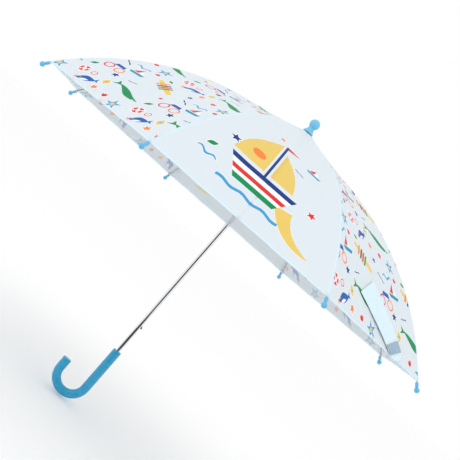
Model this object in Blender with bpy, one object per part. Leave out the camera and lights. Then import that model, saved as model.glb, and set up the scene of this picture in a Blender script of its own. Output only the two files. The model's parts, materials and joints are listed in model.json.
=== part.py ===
"""Children's crook umbrella: shaft, runner, eight ribs and stretchers, and a canopy that folds with them.

The shaft is the Z axis. The origin is on it, level with the lowest point of the crook handle, and the
canopy is open. Every rib, stretcher and half gore is built in the sector of one rib, which is the XZ
plane, and then turned about Z to that rib's azimuth. Metres and radians throughout.
"""

import math

import bmesh
import bpy
from mathutils import Matrix, Quaternion, Vector

# ---- Driving dimensions ----
RIB_COUNT = 8
SECTOR = 2 * math.pi / RIB_COUNT
FIRST_AZIMUTH = SECTOR / 2
TIP_PLANE_Z = 0.338
GAP = 0.0003

# Rib centre line: straight from its hinge, then one arc down to its tip
HINGE_RADIUS = 0.0065
RIB_STRAIGHT = 0.100
RIB_LENGTH = 0.3947
RIB_SLOPE_START = math.radians(12.0)
RIB_SLOPE_END = math.radians(51.5)
RIB_WIRE_RADIUS = 0.0011
RIB_BENDS = 10
RIB_SEATED = 0.0025

# Rib and stretcher ends
EYE_THICKNESS = 0.0014
EYE_RADIUS = 0.0013
EYE_HOLE_RADIUS = 0.00075
EYE_LENGTH = 0.0050
LUG_STATION = 0.165
LUG_DROP = 0.0034
LUG_THICKNESS = 0.0010
LUG_RADIUS = 0.0016
LUG_HOLE_RADIUS = 0.0009
STRETCHER_RADIUS = 0.0010
FORK_RADIUS = 0.0018
FORK_THICKNESS = 0.0008
FORK_REACH = 0.0045
FORK_BRIDGE = 0.0030
FORK_PIN_RADIUS = 0.0006

# Rib tips
TIP_BALL_RADIUS = 0.00375
TIP_SOCKET_RADIUS = 0.0023
TIP_SOCKET_LENGTH = 0.0100
TIP_BORE_RADIUS = 0.0014
TIP_WALL = 0.0020

# Shaft and its fittings
SHAFT_RADIUS = 0.0035
SHAFT_BORE = 0.0030
SHAFT_BOTTOM_Z = 0.062
SHAFT_TOP_Z = 0.5260
BORE_RADIUS = SHAFT_RADIUS + GAP
COLLAR_RADIUS = 0.0084
COLLAR_HALF_GROOVE = 0.0008
COLLAR_FLANGE = 0.0008
COLLAR_FLOOR_RADIUS = 0.0054
COLLAR_SLOT_FLOOR = 0.0050
COLLAR_SLOT_DEPTH = 0.0020
SLOT_WIDTH = EYE_THICKNESS + 2 * GAP
WIRE_RADIUS = 0.0004
NOTCH_HUB_RADIUS = 0.0058
NOTCH_HEIGHT = 0.0110
NOTCH_PIN_RADIUS = 0.0006
NOTCH_PIN_DROP = 0.0068
RUNNER_LENGTH = 0.0420
RUNNER_RADIUS = 0.0069
RUNNER_LIP_RADIUS = 0.0078
RUNNER_LIP = 0.0030
KEYWAY_WIDTH = 0.0030
KEYWAY_RADIUS = 0.0059
KEYWAY_MOUTH = 0.0048

# Spring catches: a leaf inside the shaft, with a nub through a slot at +X
CATCH_WIDTH = 0.0020
CATCH_LEAF_INNER = 0.0013
CATCH_LEAF_OUTER = 0.0021
CATCH_NUB_REACH = 0.0055
CATCH_NUB_LENGTH = 0.0075
CATCH_NUB_FLAT = 0.0012
CATCH_LEAF_LENGTH = 0.0240
CATCH_SLOT_MARGIN = 0.0006
BOTTOM_CATCH_Z = 0.1462

# Ferrule on top and crook handle below
FERRULE_BASE_Z = TIP_PLANE_Z + 0.1796
FERRULE_BASE_RADIUS = 0.0084
FERRULE_NECK_RADIUS = 0.0049
FERRULE_BALL_RADIUS = 0.0079
FERRULE_BALL_Z = TIP_PLANE_Z + 0.1950
HANDLE_RADIUS = 0.00665
HANDLE_TOP_Z = 0.101
CROOK_RADIUS = 0.0235
CROOK_TAIL = 0.0160

# Canopy cloth, measured on its middle surface
CLOTH_THICKNESS = 0.0005
CLOTH_CLEARANCE = RIB_WIRE_RADIUS + GAP + CLOTH_THICKNESS / 2
CROWN_LIFT = 0.0040
CROWN_FADE = 0.0250
CROWN_STATION = -0.0027
CROWN_ROWS = (0.010, 0.040)
HEM_STATION = RIB_LENGTH - TIP_SOCKET_LENGTH - 0.0006
HEM_SCALLOP = 0.0050
CLOTH_SAG = 0.020

# Closing strap, one tape sewn to the gore after this rib and hanging slantwise to its hem.
# Its root is placed from the gore's middle and above its hem. It is split where the gore folds.
STRAP_RIB = 7
STRAP_ROOT = (-0.0255, 0.0639)
STRAP_SLANT = math.radians(-32.5)
STRAP_LENGTH = 0.1160
STRAP_ROOT_WIDTH = 0.0490
STRAP_END_WIDTH = 0.0270
STRAP_SKEW = 0.0070
STRAP_ROUNDING = 0.0080
STRAP_THICKNESS = 0.0008
HOOK_TAPE_START = 0.0870
HOOK_TAPE_LENGTH = 0.0165
HOOK_TAPE_THICKNESS = 0.0010
HOOK_TAPE_MARGIN = 0.0005

# Folding
CLOSED_TIP_RADIUS = 0.0120
CLOSED_FOLD_ANGLE = math.radians(19.0)


# ---- Rib line and linkage ----
def rib_slope(station):
    """Slope below the horizontal at a distance along the rib from its hinge."""
    bent = max(0.0, station - RIB_STRAIGHT) / (RIB_LENGTH - RIB_STRAIGHT)
    return RIB_SLOPE_START + (RIB_SLOPE_END - RIB_SLOPE_START) * bent


def rib_drop(station):
    """Outward distance and height from the hinge, at a distance along the rib."""
    straight = min(station, RIB_STRAIGHT)
    out = straight * math.cos(RIB_SLOPE_START)
    up = -straight * math.sin(RIB_SLOPE_START)
    slope = rib_slope(station)
    arc_radius = (RIB_LENGTH - RIB_STRAIGHT) / (RIB_SLOPE_END - RIB_SLOPE_START)
    out += arc_radius * (math.sin(slope) - math.sin(RIB_SLOPE_START))
    up += arc_radius * (math.cos(slope) - math.cos(RIB_SLOPE_START))
    return out, up


def bend_stations():
    """Evenly spaced stations along the rib's arc, up to its end inside the tip."""
    arc = RIB_LENGTH - RIB_SEATED - RIB_STRAIGHT
    return [RIB_STRAIGHT + arc * step / RIB_BENDS for step in range(RIB_BENDS + 1)]


HINGE_Z = TIP_PLANE_Z - rib_drop(RIB_LENGTH)[1]


def rib_point(station):
    """A point of the rib's centre line, in its sector's XZ plane."""
    out, up = rib_drop(station)
    return Vector((HINGE_RADIUS + out, 0.0, HINGE_Z + up))


def rib_normal(station):
    """The upward normal of the rib's centre line."""
    slope = rib_slope(station)
    return Vector((math.sin(slope), 0.0, math.cos(slope)))


HINGE = Vector((HINGE_RADIUS, 0.0, HINGE_Z))
LUG = rib_point(LUG_STATION) - rib_normal(LUG_STATION) * LUG_DROP
ARM = (LUG - HINGE).length
ARM_ANGLE = math.atan2(LUG.x - HINGE.x, HINGE.z - LUG.z)
RUNNER_PIVOT = Vector((HINGE_RADIUS, 0.0, HINGE_Z - 2 * ARM * math.cos(ARM_ANGLE)))

TIP_REACH = math.hypot(*rib_drop(RIB_LENGTH))
TIP_ANGLE = math.atan2(rib_drop(RIB_LENGTH)[0], -rib_drop(RIB_LENGTH)[1])
FOLD_ANGLE = TIP_ANGLE - math.asin((CLOSED_TIP_RADIUS - HINGE_RADIUS) / TIP_REACH)


def azimuth(number):
    """The azimuth of a rib, numbered from 1."""
    return FIRST_AZIMUTH + SECTOR * (number - 1)


def turned(angle):
    """A turn about the shaft."""
    return Matrix.Rotation(angle, 4, "Z")


# ---- Cloth surface ----
def cloth_line(station):
    """The cloth's middle surface over the rib, which lifts near the notch."""
    lift = CLOTH_CLEARANCE + CROWN_LIFT * math.exp(-max(station, 0.0) / CROWN_FADE)
    return rib_point(station) + rib_normal(station) * lift


def hem_station(share):
    """Where the cloth ends. The hem curves inwards between two ribs."""
    return HEM_STATION - HEM_SCALLOP * 4 * share * (1 - share)


def cloth_normal(station, share, side):
    """The outward normal at a share of the way from this rib to the next."""
    return turned(side * share * SECTOR) @ rib_normal(station)


def cloth_point(station, share, side):
    """The cloth between this rib, share 0, and the next one on that side, share 1."""
    near = cloth_line(station)
    far = turned(side * SECTOR) @ near
    sag = CLOTH_SAG * (far - near).length * 4 * share * (1 - share)
    return near.lerp(far, share) - cloth_normal(station, share, side) * sag


def fold_motion(side):
    """Axis direction, point and angle that carry a half gore from its rib to its fold line.

    The fold line turns about the tangent at the middle of the gore while the rib turns about its own
    hinge. Both axes lie level with the hinges, so their crossing stays still.
    """
    middle = Vector((math.cos(SECTOR / 2), side * math.sin(SECTOR / 2), 0.0))
    middle_axis = Vector((-middle.y, middle.x, 0.0))
    hem = cloth_point(hem_station(0.5), 0.5, side)
    hem_out = hem.dot(middle) - HINGE_RADIUS
    opened = math.atan2(hem_out, HINGE_Z - hem.z)
    back = Quaternion((0.0, 1.0, 0.0), -FOLD_ANGLE)
    fold = Quaternion(middle_axis, opened - CLOSED_FOLD_ANGLE)
    axis, angle = (back @ fold).to_axis_angle()
    crossing = HINGE_RADIUS / math.cos(SECTOR / 4)
    point = turned(side * SECTOR / 4) @ Vector((crossing, 0.0, 0.0))
    point.z = HINGE_Z
    return axis, point, angle


# ---- Shape helpers ----
def to_mesh(bm, name):
    """A mesh with outward faces, from a bmesh that is then freed."""
    bmesh.ops.recalc_face_normals(bm, faces=bm.faces)
    mesh = bpy.data.meshes.new(name)
    bm.to_mesh(mesh)
    bm.free()
    return mesh


def lathe(profile, steps, closed=True):
    """A solid turned about Z from (radius, height) points."""
    bm = bmesh.new()
    verts = [bm.verts.new((radius, 0.0, height)) for radius, height in profile]
    edges = [bm.edges.new(pair) for pair in zip(verts, verts[1:])]
    if closed:
        edges.append(bm.edges.new((verts[-1], verts[0])))
    spun = verts + edges
    bmesh.ops.spin(bm, geom=spun, axis=(0, 0, 1), cent=(0, 0, 0), steps=steps, angle=2 * math.pi)
    bmesh.ops.remove_doubles(bm, verts=bm.verts, dist=1e-6)
    return to_mesh(bm, "lathe")


def sweep(points, radius, sides):
    """A round bar along points in the XZ plane."""
    bm = bmesh.new()
    rings = []
    for index, point in enumerate(points):
        ahead = points[min(index + 1, len(points) - 1)] - points[max(index - 1, 0)]
        ahead.normalize()
        across = Vector((ahead.z, 0.0, -ahead.x))
        ring = []
        for step in range(sides):
            angle = 2 * math.pi * (step + 0.5) / sides
            offset = across * math.cos(angle) + Vector((0.0, 1.0, 0.0)) * math.sin(angle)
            ring.append(bm.verts.new(point + offset * radius))
        rings.append(ring)
    for one, two in zip(rings, rings[1:]):
        for step in range(sides):
            after = (step + 1) % sides
            bm.faces.new((one[step], one[after], two[after], two[step]))
    bm.faces.new(rings[0])
    bm.faces.new(rings[-1])
    return to_mesh(bm, "sweep")


def plate(outline, low, high):
    """A plate with an XZ outline, between two distances along Y."""
    bm = bmesh.new()
    face = bm.faces.new([bm.verts.new((x, low, z)) for x, z in outline])
    grown = bmesh.ops.extrude_face_region(bm, geom=[face])["geom"]
    raised = [item for item in grown if isinstance(item, bmesh.types.BMVert)]
    bmesh.ops.translate(bm, verts=raised, vec=(0.0, high - low, 0.0))
    return to_mesh(bm, "plate")


def rod(radius, low, high, sides, x=0.0, z=0.0):
    """A round rod along Y, at x and z."""
    turns = [2 * math.pi * step / sides for step in range(sides)]
    outline = [(x + radius * math.cos(turn), z + radius * math.sin(turn)) for turn in turns]
    return plate(outline, low, high)


def box(low, high):
    """A box between two corners."""
    outline = [(low[0], low[2]), (high[0], low[2]), (high[0], high[2]), (low[0], high[2])]
    return plate(outline, low[1], high[1])


def tongue(radius, length, low, high):
    """A plate round at the origin and square at +X, for an eye or an ear."""
    turns = [math.pi * (0.5 + step / 5) for step in range(6)]
    outline = [(radius * math.cos(turn), radius * math.sin(turn)) for turn in turns]
    outline += [(length, -radius), (length, radius)]
    return plate(outline, low, high)


def moved(mesh, matrix):
    """The mesh after a move."""
    mesh.transform(matrix)
    return mesh


def combined(base, joins=(), cuts=()):
    """One mesh: the base with some shapes joined to it and others cut away."""
    stock = bpy.data.objects.new("stock", base)
    bpy.context.collection.objects.link(stock)
    tools = []
    for operation, meshes in (("UNION", joins), ("DIFFERENCE", cuts)):
        for mesh in meshes:
            tool = bpy.data.objects.new("tool", mesh)
            bpy.context.collection.objects.link(tool)
            tools.append(tool)
            boolean = stock.modifiers.new(operation, "BOOLEAN")
            boolean.operation = operation
            boolean.object = tool
    graph = bpy.context.evaluated_depsgraph_get()
    result = bpy.data.meshes.new_from_object(stock.evaluated_get(graph))
    for item in (stock, *tools):
        bpy.data.objects.remove(item)
    return result


def lying(point, slope):
    """Places a shape made along +X at a point of the sector, sloping down outwards."""
    return Matrix.Translation(point) @ Matrix.Rotation(slope, 4, "Y")


# ---- Scene helpers ----
def clear_scene():
    """Removes whatever the file holds."""
    for item in list(bpy.data.objects):
        bpy.data.objects.remove(item)


def material(name, colour, roughness, metallic=0.0):
    """A Principled material."""
    made = bpy.data.materials.new(name)
    made.use_nodes = True
    shader = made.node_tree.nodes["Principled BSDF"]
    shader.inputs["Base Color"].default_value = (*colour, 1.0)
    shader.inputs["Roughness"].default_value = roughness
    shader.inputs["Metallic"].default_value = metallic
    return made


def attach(item, parent, world):
    """Hangs an object on its parent and puts it at a world placement."""
    bpy.context.collection.objects.link(item)
    item.parent = parent
    bpy.context.view_layer.update()
    item.matrix_world = world
    bpy.context.view_layer.update()
    return item


def pivot(name, parent, world):
    """An empty on a joint's axis, which is the empty's own Y."""
    empty = bpy.data.objects.new(name, None)
    empty.empty_display_size = 0.01
    return attach(empty, parent, world)


def piece(name, mesh, finish, parent, world=None):
    """One named sub-part."""
    item = bpy.data.objects.new(name, mesh)
    if not mesh.materials:
        mesh.materials.append(finish)
    return attach(item, parent, world or Matrix.Identity(4))


def round_shaded(mesh):
    """Smooth shading, with edges sharper than 40 degrees kept."""
    mesh.shade_smooth()
    mesh.set_sharp_from_angle(angle=math.radians(40))
    return mesh


# ---- Frame pieces ----
def rib_mesh():
    """A wire with a flat eye at the notch and a lug for its stretcher."""
    stations = [EYE_LENGTH - 0.0015, *bend_stations()]
    wire = sweep([rib_point(station) for station in stations], RIB_WIRE_RADIUS, 6)
    half = EYE_THICKNESS / 2
    eye = moved(tongue(EYE_RADIUS, EYE_LENGTH, -half, half), lying(HINGE, RIB_SLOPE_START))
    eye_hole = rod(EYE_HOLE_RADIUS, -0.003, 0.003, 10, HINGE.x, HINGE.z)
    half = LUG_THICKNESS / 2
    down = rib_slope(LUG_STATION) - math.pi / 2
    lug = moved(tongue(LUG_RADIUS, LUG_DROP, -half, half), lying(LUG, down))
    lug_hole = rod(LUG_HOLE_RADIUS, -0.003, 0.003, 10, LUG.x, LUG.z)
    return combined(wire, (eye, lug), (eye_hole, lug_hole))


def stretcher_mesh():
    """A rod with an eye at the runner and a forked end, with its pin, at the rib."""
    half = EYE_THICKNESS / 2
    inner = LUG_THICKNESS / 2 + GAP
    outer = inner + FORK_THICKNESS
    reach = FORK_REACH + FORK_BRIDGE
    bar_start = Vector((reach - 0.001, 0.0, 0.0))
    bar_end = Vector((ARM - EYE_LENGTH + 0.0015, 0.0, 0.0))
    bar = sweep([bar_start, bar_end], STRETCHER_RADIUS, 6)
    ear = tongue(FORK_RADIUS, FORK_REACH + 0.0005, inner, outer)
    other_ear = tongue(FORK_RADIUS, FORK_REACH + 0.0005, -outer, -inner)
    bridge = box((FORK_REACH, -outer, -FORK_RADIUS), (reach, outer, FORK_RADIUS))
    pin = rod(FORK_PIN_RADIUS, -outer + 0.0001, outer - 0.0001, 8)
    turn_round = Matrix.Translation((ARM, 0.0, 0.0)) @ Matrix.Rotation(math.pi, 4, "Z")
    eye = moved(tongue(EYE_RADIUS, EYE_LENGTH, -half, half), turn_round)
    eye_hole = rod(EYE_HOLE_RADIUS, -0.003, 0.003, 10, ARM, 0.0)
    made = combined(bridge, (ear, other_ear, pin, bar, eye), (eye_hole,))
    slope = math.atan2(RUNNER_PIVOT.z - LUG.z, RUNNER_PIVOT.x - LUG.x)
    return moved(made, lying(LUG, -slope))


def tip_mesh():
    """A ball on a socket that takes the rib's end."""
    ball_back = math.sqrt(TIP_BALL_RADIUS**2 - (TIP_SOCKET_RADIUS * 0.8) ** 2)
    front = math.atan2(TIP_SOCKET_RADIUS * 0.8, -ball_back)
    arcs = 6
    angles = [front * (1 - step / arcs) for step in range(arcs + 1)]
    profile = [(TIP_BORE_RADIUS, -TIP_WALL), (TIP_BORE_RADIUS, -TIP_SOCKET_LENGTH)]
    profile += [(TIP_SOCKET_RADIUS, -TIP_SOCKET_LENGTH), (TIP_SOCKET_RADIUS, -ball_back - 0.002)]
    profile += [(TIP_BALL_RADIUS * math.sin(turn), TIP_BALL_RADIUS * math.cos(turn)) for turn in angles]
    profile.insert(0, (0.0, -TIP_WALL))
    made = lathe(profile, 10, closed=False)
    out = Matrix.Rotation(RIB_SLOPE_END + math.pi / 2, 4, "Y")
    return round_shaded(moved(made, Matrix.Translation(rib_point(RIB_LENGTH)) @ out))


def collar_profile(low, barrel):
    """A bored collar whose rim has a groove for a wire ring, level with z = 0."""
    groove = COLLAR_HALF_GROOVE
    top = groove + COLLAR_FLANGE
    profile = [(BORE_RADIUS, low), (BORE_RADIUS, top), (COLLAR_RADIUS, top)]
    profile += [(COLLAR_RADIUS, groove), (COLLAR_FLOOR_RADIUS, groove)]
    profile += [(COLLAR_FLOOR_RADIUS, -groove), (COLLAR_RADIUS, -groove)]
    profile += [(COLLAR_RADIUS, -top), *barrel]
    return profile


def collar_slots():
    """Cutters for the slots that the rib or stretcher eyes turn in."""
    low = (COLLAR_SLOT_FLOOR, -SLOT_WIDTH / 2, -COLLAR_SLOT_DEPTH)
    high = (COLLAR_RADIUS * 1.3, SLOT_WIDTH / 2, COLLAR_SLOT_DEPTH * 2)
    return [moved(box(low, high), turned(azimuth(number))) for number in range(1, RIB_COUNT + 1)]


def notch_mesh():
    """The fixed collar that holds the rib ends, with a cross hole for its pin."""
    low = COLLAR_HALF_GROOVE + COLLAR_FLANGE - NOTCH_HEIGHT
    flange = -COLLAR_HALF_GROOVE - COLLAR_FLANGE
    barrel = [(NOTCH_HUB_RADIUS, flange), (NOTCH_HUB_RADIUS, low)]
    body = lathe(collar_profile(low, barrel), 24)
    hole = rod(NOTCH_PIN_RADIUS + GAP, -0.01, 0.01, 8, 0.0, -NOTCH_PIN_DROP)
    made = combined(body, cuts=(*collar_slots(), hole))
    return moved(made, Matrix.Translation((0.0, 0.0, HINGE_Z)))


def runner_mesh():
    """The sliding collar and its sleeve, with a keyway over the catches."""
    flange = -COLLAR_HALF_GROOVE - COLLAR_FLANGE
    low = -RUNNER_LENGTH
    barrel = [(RUNNER_RADIUS, flange - 0.0010), (RUNNER_RADIUS, low + RUNNER_LIP + 0.0010)]
    barrel += [(RUNNER_LIP_RADIUS, low + RUNNER_LIP), (RUNNER_LIP_RADIUS, low)]
    body = lathe(collar_profile(low, barrel), 24)
    keyway = box((0.0, -KEYWAY_WIDTH / 2, low - 0.001), (KEYWAY_RADIUS, KEYWAY_WIDTH / 2, 0.005))
    half = KEYWAY_MOUTH / 2
    mouth = box((COLLAR_SLOT_FLOOR, -half, -COLLAR_SLOT_DEPTH), (COLLAR_RADIUS * 1.3, half, 0.005))
    made = combined(body, cuts=(*collar_slots(), keyway, mouth))
    return moved(made, Matrix.Translation((0.0, 0.0, RUNNER_PIVOT.z)))


def wire_ring_mesh(height):
    """The wire that the eyes of one collar turn on."""
    sides = 6
    turns = [2 * math.pi * step / sides for step in range(sides)]
    profile = [(HINGE_RADIUS + WIRE_RADIUS * math.cos(turn), WIRE_RADIUS * math.sin(turn)) for turn in turns]
    return round_shaded(moved(lathe(profile, 32), Matrix.Translation((0.0, 0.0, height))))


def shaft_mesh():
    """A thin tube with a slot for each catch and a hole for the notch pin."""
    profile = [(SHAFT_BORE, SHAFT_BOTTOM_Z), (SHAFT_BORE, SHAFT_TOP_Z)]
    profile += [(SHAFT_RADIUS, SHAFT_TOP_Z), (SHAFT_RADIUS, SHAFT_BOTTOM_Z)]
    half = CATCH_WIDTH / 2 + GAP
    slots = []
    for low, high in (catch_span(TOP_CATCH_Z, -1), catch_span(BOTTOM_CATCH_Z, 1)):
        margin = CATCH_SLOT_MARGIN
        slots.append(box((CATCH_LEAF_OUTER, -half, low - margin), (0.006, half, high + margin)))
    hole = rod(NOTCH_PIN_RADIUS + GAP, -0.01, 0.01, 8, 0.0, HINGE_Z - NOTCH_PIN_DROP)
    return combined(lathe(profile, 24), cuts=(*slots, hole))


TOP_CATCH_Z = RUNNER_PIVOT.z - RUNNER_LENGTH - 0.0012


def catch_span(flat_z, way):
    """The heights between which a catch's nub stands out of the shaft."""
    return sorted((flat_z, flat_z + way * CATCH_NUB_LENGTH))


def catch_mesh(flat_z, way):
    """A spring leaf with a wedge-shaped nub. Its flat side is at flat_z and its leaf runs the way given."""
    tail = flat_z + way * (CATCH_LEAF_LENGTH + 0.002)
    outline = [(CATCH_LEAF_INNER, flat_z), (CATCH_NUB_REACH, flat_z)]
    outline += [(CATCH_NUB_REACH, flat_z + way * CATCH_NUB_FLAT)]
    outline += [(CATCH_LEAF_OUTER, flat_z + way * CATCH_NUB_LENGTH)]
    outline += [(CATCH_LEAF_OUTER, tail), (CATCH_LEAF_INNER, tail)]
    return plate(outline, -CATCH_WIDTH / 2, CATCH_WIDTH / 2)


def catch_pivot(flat_z, way):
    """The point that a catch bends about, low down on its leaf."""
    middle = (CATCH_LEAF_INNER + CATCH_LEAF_OUTER) / 2
    return Vector((middle, 0.0, flat_z + way * CATCH_LEAF_LENGTH))


def ferrule_mesh():
    """The top cap: a flared foot, a waisted neck and a ball, bored for the shaft."""
    foot = FERRULE_BASE_Z
    meet = math.asin(FERRULE_NECK_RADIUS / FERRULE_BALL_RADIUS)
    neck_top = FERRULE_BALL_Z - FERRULE_BALL_RADIUS * math.cos(meet)
    profile = [(0.0, SHAFT_TOP_Z + GAP), (BORE_RADIUS, SHAFT_TOP_Z + GAP), (BORE_RADIUS, foot)]
    profile += [(FERRULE_BASE_RADIUS, foot), (FERRULE_BASE_RADIUS, foot + 0.0012)]
    waist = 5
    for step in range(1, waist + 1):
        share = step / waist
        flare = (FERRULE_BASE_RADIUS - FERRULE_NECK_RADIUS) * (1 - share) ** 2
        profile.append((FERRULE_NECK_RADIUS + flare, foot + 0.0012 + (neck_top - foot - 0.0012) * share))
    arcs = 9
    for step in range(1, arcs + 1):
        turn = math.pi - meet - (math.pi - meet) * step / arcs
        out = FERRULE_BALL_RADIUS * math.sin(turn)
        profile.append((out, FERRULE_BALL_Z + FERRULE_BALL_RADIUS * math.cos(turn)))
    return round_shaded(lathe(profile, 24, closed=False))


def handle_mesh():
    """A round bar bent into a crook towards -X, with a blind bore for the shaft."""
    centre_z = HANDLE_RADIUS + CROOK_RADIUS
    points = [Vector((0.0, 0.0, HANDLE_TOP_Z)), Vector((0.0, 0.0, centre_z))]
    bends = 12
    for step in range(1, bends + 1):
        turn = math.pi * step / bends
        out = CROOK_RADIUS * (math.cos(turn) - 1)
        points.append(Vector((out, 0.0, centre_z - CROOK_RADIUS * math.sin(turn))))
    points.append(Vector((-2 * CROOK_RADIUS, 0.0, centre_z + CROOK_TAIL)))
    bar = sweep(points, HANDLE_RADIUS, 18)
    bore = lathe([(0.0, SHAFT_BOTTOM_Z - GAP), (BORE_RADIUS, SHAFT_BOTTOM_Z - GAP),
                  (BORE_RADIUS, HANDLE_TOP_Z + 0.01), (0.0, HANDLE_TOP_Z + 0.01)], 24, closed=False)
    return round_shaded(combined(bar, cuts=(bore,)))


# ---- Cloth pieces ----
def cloth_mesh(side):
    """Half a gore, from its rib to the fold line in the gore's middle."""
    across = 3
    stations = [CROWN_STATION, *CROWN_ROWS, *bend_stations()[:-1], HEM_STATION]
    along = len(stations) - 1
    bm = bmesh.new()
    layers = ([], [])
    for row_station in stations:
        level = (row_station - CROWN_STATION) / (HEM_STATION - CROWN_STATION)
        width = (cloth_point(row_station, 1.0, side) - cloth_line(row_station)).length
        edge = GAP / 2 / width
        for column in range(across + 1):
            share = edge + (0.5 - 2 * edge) * column / across
            station = CROWN_STATION + (hem_station(share) - CROWN_STATION) * level
            point = cloth_point(station, share, side)
            normal = cloth_normal(station, share, side) * CLOTH_THICKNESS / 2
            layers[0].append(bm.verts.new(point + normal))
            layers[1].append(bm.verts.new(point - normal))
    stride = across + 1
    for layer in layers:
        for row in range(along):
            for column in range(across):
                low = row * stride + column
                corners = (low, low + 1, low + stride + 1, low + stride)
                bm.faces.new([layer[corner] for corner in corners])
    rim = list(range(stride))
    rim += [row * stride + across for row in range(1, along + 1)]
    rim += [along * stride + column for column in range(across - 1, -1, -1)]
    rim += [row * stride for row in range(along - 1, 0, -1)]
    top, bottom = layers
    for one, two in zip(rim, rim[1:] + rim[:1]):
        bm.faces.new((top[one], top[two], bottom[two], bottom[one]))
    return to_mesh(bm, "cloth")


def gore_spot(aside, above, lift):
    """A point a lift over the strap's gore, aside from its middle and above its hem."""
    width = 2 * cloth_line(HEM_STATION - above).x * math.sin(SECTOR / 2)
    share = 0.5 + aside / width
    station = hem_station(share) - above
    point = cloth_point(station, share, 1)
    down = cloth_point(station + 0.001, share, 1) - point
    across = cloth_point(station, share + 0.01, 1) - point
    return point + down.cross(across).normalized() * (CLOTH_THICKNESS / 2 + lift)


def strap_half_width(distance):
    """Half the strap's width, which tapers towards its tip."""
    taper = STRAP_END_WIDTH - STRAP_ROOT_WIDTH
    return (STRAP_ROOT_WIDTH + taper * distance / STRAP_LENGTH) / 2


def strap_spot(distance, aside, lift):
    """A point over the strap, aside from its middle line."""
    sine, cosine = math.sin(STRAP_SLANT), math.cos(STRAP_SLANT)
    across = STRAP_ROOT[0] + distance * cosine - aside * sine
    above = STRAP_ROOT[1] + distance * sine + aside * cosine
    return gore_spot(across, above, lift)


def fold_crossing(column, beyond):
    """The distance at which a column of the strap, -1 to 1, is just beyond the gore's middle."""
    half, sine = STRAP_ROOT_WIDTH / 2, math.sin(STRAP_SLANT)
    taper = (STRAP_END_WIDTH - STRAP_ROOT_WIDTH) / 2 / STRAP_LENGTH
    return (beyond - STRAP_ROOT[0] + column * half * sine) / (math.cos(STRAP_SLANT) - column * taper * sine)


def tape_mesh(start, end, lift, thickness, rows, margin=0.0):
    """Tape along the strap, between distances that are given for each column from -1 to 1."""
    bm = bmesh.new()
    columns = [step / 2 - 1 for step in range(5)]
    layers = []
    for height in (lift, lift + thickness):
        layer = []
        for row in range(rows + 1):
            for column in columns:
                distance = start(column) + (end(column) - start(column)) * row / rows
                aside = column * (strap_half_width(distance) - margin)
                layer.append(bm.verts.new(strap_spot(distance, aside, height)))
        layers.append(layer)
    low, high = layers
    stride = len(columns)
    for row in range(rows):
        for column in range(stride - 1):
            first = row * stride + column
            corners = (first, first + 1, first + stride + 1, first + stride)
            bm.faces.new([low[corner] for corner in corners])
            bm.faces.new([high[corner] for corner in corners])
    rim = list(range(stride))
    rim += [row * stride + stride - 1 for row in range(1, rows + 1)]
    rim += [rows * stride + column for column in range(stride - 2, -1, -1)]
    rim += [row * stride for row in range(rows - 1, 0, -1)]
    for one, two in zip(rim, rim[1:] + rim[:1]):
        bm.faces.new((low[one], low[two], high[two], high[one]))
    return to_mesh(bm, "tape")


# ---- Assembly ----
def facing(point, axis):
    """A placement at a point, with its own Y along an axis."""
    return Matrix.Translation(point) @ Vector((0.0, 1.0, 0.0)).rotation_difference(axis).to_matrix().to_4x4()


def build_shaft(finishes):
    """The fixed pieces, and the two catches that press into the shaft."""
    root = pivot("umbrella", None, Matrix.Identity(4))
    piece("shaft_tube", round_shaded(shaft_mesh()), finishes["chrome"], root)
    piece("handle_crook", handle_mesh(), finishes["handle"], root)
    piece("top_ferrule", ferrule_mesh(), finishes["ferrule"], root)
    piece("notch", notch_mesh(), finishes["collar"], root)
    piece("notch_wire", wire_ring_mesh(HINGE_Z), finishes["wire"], root)
    reach = NOTCH_HUB_RADIUS + GAP
    pin = rod(NOTCH_PIN_RADIUS, -reach, reach, 8, 0.0, HINGE_Z - NOTCH_PIN_DROP)
    piece("notch_pin", pin, finishes["wire"], root)
    for name, flat_z, way in (("top_catch", TOP_CATCH_Z, -1), ("bottom_catch", BOTTOM_CATCH_Z, 1)):
        bend = pivot(name + "_bend", root, Matrix.Translation(catch_pivot(flat_z, way)))
        piece(name, catch_mesh(flat_z, way), finishes["wire"], bend)
    return root


def build_ribs(root, finishes):
    """Ribs on the notch, with their tips, stretchers and cloth. Returns the stretcher and fold pivots."""
    rib, tip, stretcher = rib_mesh(), tip_mesh(), stretcher_mesh()
    halves = {"left": (cloth_mesh(1), 1), "right": (cloth_mesh(-1), -1)}
    ribs, arms, folds = {}, {}, {}
    for number in range(1, RIB_COUNT + 1):
        sector = turned(azimuth(number))
        ribs[number] = pivot(f"rib_{number}_hinge", root, sector @ Matrix.Translation(HINGE))
        piece(f"rib_{number}", rib, finishes["rib"], ribs[number], sector)
        piece(f"rib_tip_{number}", tip, finishes["tip"], ribs[number], sector)
        arms[number] = pivot(f"stretcher_{number}_hinge", ribs[number], sector @ Matrix.Translation(LUG))
        piece(f"stretcher_{number}", stretcher, finishes["rib"], arms[number], sector)
        for half, (mesh, side) in halves.items():
            axis, point, _ = fold_motion(side)
            fold = pivot(f"canopy_{number}_{half}_fold", ribs[number], sector @ facing(point, axis))
            piece(f"canopy_{number}_{half}", mesh, finishes["cloth"], fold, sector)
            folds[number, half] = fold
    return arms, folds


def build_runner(arms, finishes):
    """The runner, which the first stretcher carries."""
    place = turned(azimuth(1)) @ Matrix.Translation(RUNNER_PIVOT)
    slide = pivot("runner_hinge", arms[1], place)
    piece("runner", runner_mesh(), finishes["collar"], slide)
    piece("runner_wire", wire_ring_mesh(RUNNER_PIVOT.z), finishes["wire"], slide)


def strap_start(column):
    """Where a column of the strap, -1 to 1, is sewn on."""
    return STRAP_SKEW * column


def strap_end(column):
    """Where a column of the strap ends, on its rounded tip."""
    return STRAP_LENGTH + STRAP_SKEW * column - STRAP_ROUNDING * column * column


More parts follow.
